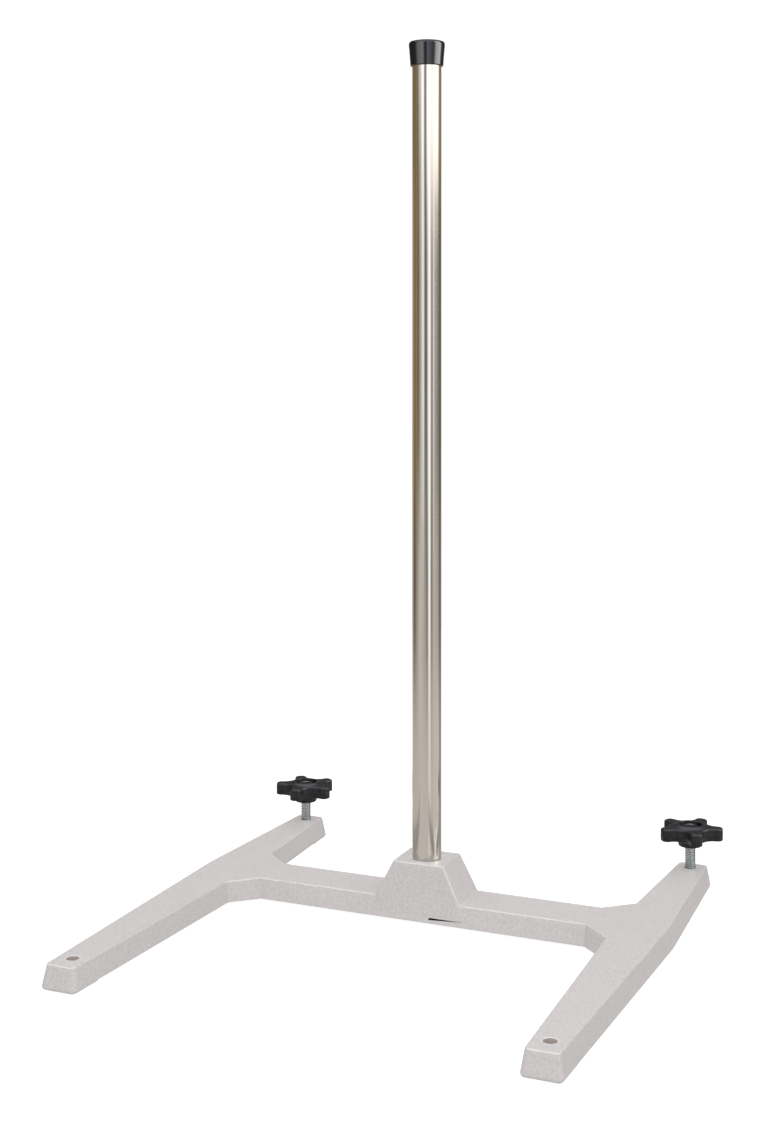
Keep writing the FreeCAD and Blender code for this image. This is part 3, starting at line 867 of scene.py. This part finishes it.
# The room as polished parts see it, in five rings from the floor up: broad bands of light and dark.
# Each stop is a direction in degrees from the camera, positive to its right, a brightness, and a
# warmth: 1 is amber, 0 is white and less is bluish.
FLOOR_RING = (
    (-180, 0.8, 0.1), (-50, 1.0, 0.1), (5, 1.0, 0.1), (20, 1.3, 0.1), (40, 1.0, 0.1),
    (105, 1.1, 0.1), (120, 0.5, 0.1), (140, 0.55, 0.1), (180, 0.8, 0.1),
)
LOW_RING = (
    (-180, 0.5, 0.3), (-130, 0.5, 0.2), (-115, 0.05, 0.7), (-90, 0.45, 0.3), (-55, 1.1, 0.1),
    (-35, 0.8, 0.1), (-10, 0.6, 0.1), (5, 0.15, 0.1), (20, 2.4, 0.0), (35, 0.2, 0.1),
    (55, 0.9, 0.1), (95, 0.8, 0.2), (120, 0.2, 0.7), (140, 0.4, 0.0), (180, 0.5, 0.3),
)
EYE_RING = (
    (-180, 0.4, 0.8), (-130, 0.5, 0.6), (-110, 0.25, 1.0), (-90, 0.4, 1.0), (-70, 0.2, 0.6),
    (-50, 0.8, 0.0), (-27, 1.8, 0.0), (-15, 0.3, 0.0), (-3, 0.2, 0.0), (20, 2.4, 0.0),
    (37, 0.5, 0.0), (45, 0.5, 0.0), (55, 1.5, 0.0), (65, 0.7, 0.1), (120, 0.2, 0.4),
    (140, 0.3, 0.1), (180, 0.4, 0.8),
)
HIGH_RING = (
    (-180, 0.25, 0.9), (-130, 0.3, 0.7), (-110, 0.25, 1.0), (-90, 0.35, 1.0), (-75, 0.25, 0.6),
    (-45, 1.1, 0.0), (-33, 2.5, 0.0), (-18, 0.4, 0.0), (-10, 0.4, 0.0), (5, 2.6, 0.0),
    (95, 2.8, 0.2), (110, 0.7, 0.8), (120, 0.4, 0.5), (140, 0.35, 0.3), (180, 0.25, 0.9),
)
UPPER_RING = (
    (-180, 0.1, -0.3), (-130, 0.1, -0.2), (-100, 0.2, 0.0), (-80, 0.5, 0.0), (-65, 2.8, 0.0),
    (-28, 4.2, 0.0), (-15, 0.5, 0.0), (-5, 0.5, 0.0), (5, 2.6, -0.2), (45, 0.8, -0.1),
    (55, 2.6, 0.0), (65, 8.0, 0.0), (100, 8.5, 0.0), (105, 3.5, 0.0), (112, 0.6, 0.0),
    (135, 0.1, -0.2), (180, 0.1, -0.3),
)
# Rings above the floor's, each with the rise of direction at which it begins and is complete.
RINGS = (
    (LOW_RING, -0.235, -0.165), (EYE_RING, -0.155, -0.05), (HIGH_RING, 0.06, 0.115),
    (UPPER_RING, 0.145, 0.21),
)


def room_ring(shader, share, stops):
    """One ring of the room: its brightness around the stand, tinted by its warmth."""
    colours = [
        (at / 360 + 0.5, (level * (1 + 0.38 * warmth), level, level * (1 - 0.55 * warmth)))
        for at, level, warmth in stops
    ]
    return shader.ramp(share, colours)


def rise_share(shader, height, start, end):
    """A soft step from 0 to 1 between two rises of direction."""
    ranges = {"Value": height, "From Min": start, "From Max": end}
    return shader.add("ShaderNodeMapRange", ranges, interpolation_type="SMOOTHSTEP").outputs["Result"]


def polished_room(shader, parts):
    """What polished parts mirror: rings of brightness round the stand, and a bright ceiling."""
    angle = shader.math("ARCTAN2", parts["Y"], parts["X"])
    share = shader.math("MULTIPLY_ADD", angle, 1 / math.tau, 0.5)
    room = room_ring(shader, share, FLOOR_RING)
    for stops, start, end in RINGS:
        rise = rise_share(shader, parts["Z"], start, end)
        room = shader.mix(rise, room, room_ring(shader, share, stops))
    return shader.mix(rise_share(shader, parts["Z"], 0.6, 0.85), room, (3.6, 3.6, 3.65, 1.0))


def make_world():
    """A soft white tent: even light on rough surfaces, bands of light and dark in polished ones."""
    world = bpy.data.worlds.new("studio")
    bpy.context.scene.world = world
    world.use_nodes = True
    world.node_tree.nodes.clear()
    shader = Shader(world.node_tree)
    direction = shader.add("ShaderNodeTexCoord").outputs["Generated"]
    turn = {"Vector": direction, "Angle": -math.atan2(EYE.y, EYE.x)}
    turned = shader.add("ShaderNodeVectorRotate", turn, rotation_type="Z_AXIS").outputs["Vector"]
    parts = shader.split(turned)
    rise = shader.math("MULTIPLY_ADD", parts["Z"], 0.5, 0.5)
    even = shader.ramp(rise, [
        (0.44, (0.94, 0.936, 0.932)),
        (0.46, (0.70, 0.697, 0.693)),
        (0.95, (1.32, 1.314, 1.308)),
    ])
    backdrop = {"Color": (1.0, 1.0, 1.0, 1.0), "Strength": 1.05}
    seen = shader.add("ShaderNodeBackground", backdrop).outputs[0]
    soft = shader.add("ShaderNodeBackground", {"Color": even, "Strength": 1.0}).outputs[0]
    room = {"Color": polished_room(shader, parts), "Strength": 1.0}
    shiny = shader.add("ShaderNodeBackground", room).outputs[0]
    path = shader.add("ShaderNodeLightPath").outputs
    lit = shader.add("ShaderNodeMixShader", {0: path["Is Glossy Ray"], 1: soft, 2: shiny}).outputs[0]
    final = shader.add("ShaderNodeMixShader", {0: path["Is Camera Ray"], 1: lit, 2: seen}).outputs[0]
    shader.add("ShaderNodeOutputWorld", {"Surface": final})


def area_light(name, at, aim, size, power):
    """A soft rectangular light that polished parts don't mirror."""
    light = bpy.data.lights.new(name, "AREA")
    light.shape = "RECTANGLE"
    light.size, light.size_y = size
    light.energy = power
    holder = bpy.data.objects.new(name, light)
    bpy.context.scene.collection.objects.link(holder)
    holder.location = at
    holder.rotation_euler = (Vector(aim) - Vector(at)).to_track_quat("-Z", "Y").to_euler()
    holder.visible_glossy = False


def make_camera():
    """The eye stands in front and to the right, level, with the picture shifted down."""
    camera = bpy.data.cameras.new("camera")
    camera.lens = LENS
    camera.shift_y = SHIFT_UP
    camera.clip_start = 0.05
    camera.clip_end = 20.0
    holder = bpy.data.objects.new("camera", camera)
    bpy.context.scene.collection.objects.link(holder)
    holder.location = EYE
    holder.rotation_euler = (math.pi / 2, 0.0, VIEW_TURN)
    bpy.context.scene.camera = holder


def main():
    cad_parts["base_casting"].material_slots[0].material = powder_coat()
    make_tube(polished_tube())
    make_cap(cap_vinyl())
    plastic = knob_plastic()
    zinc = zinc_plate()
    nylon = natural_nylon()
    oxide = black_oxide()
    for side in ("left", "right"):
        make_knob(side, plastic)
        make_levelling_screw(side, zinc)
        make_foot(side, nylon)
    for place in ("lower", "upper"):
        make_set_screw(place, oxide)
    make_floor()
    make_world()
    area_light("key", at=(0.60, -1.28, 1.25), aim=(0.1, 0, 0.05), size=(1.1, 1.1), power=8.5)
    make_camera()
    bpy.context.scene.view_settings.view_transform = "Standard"


main()
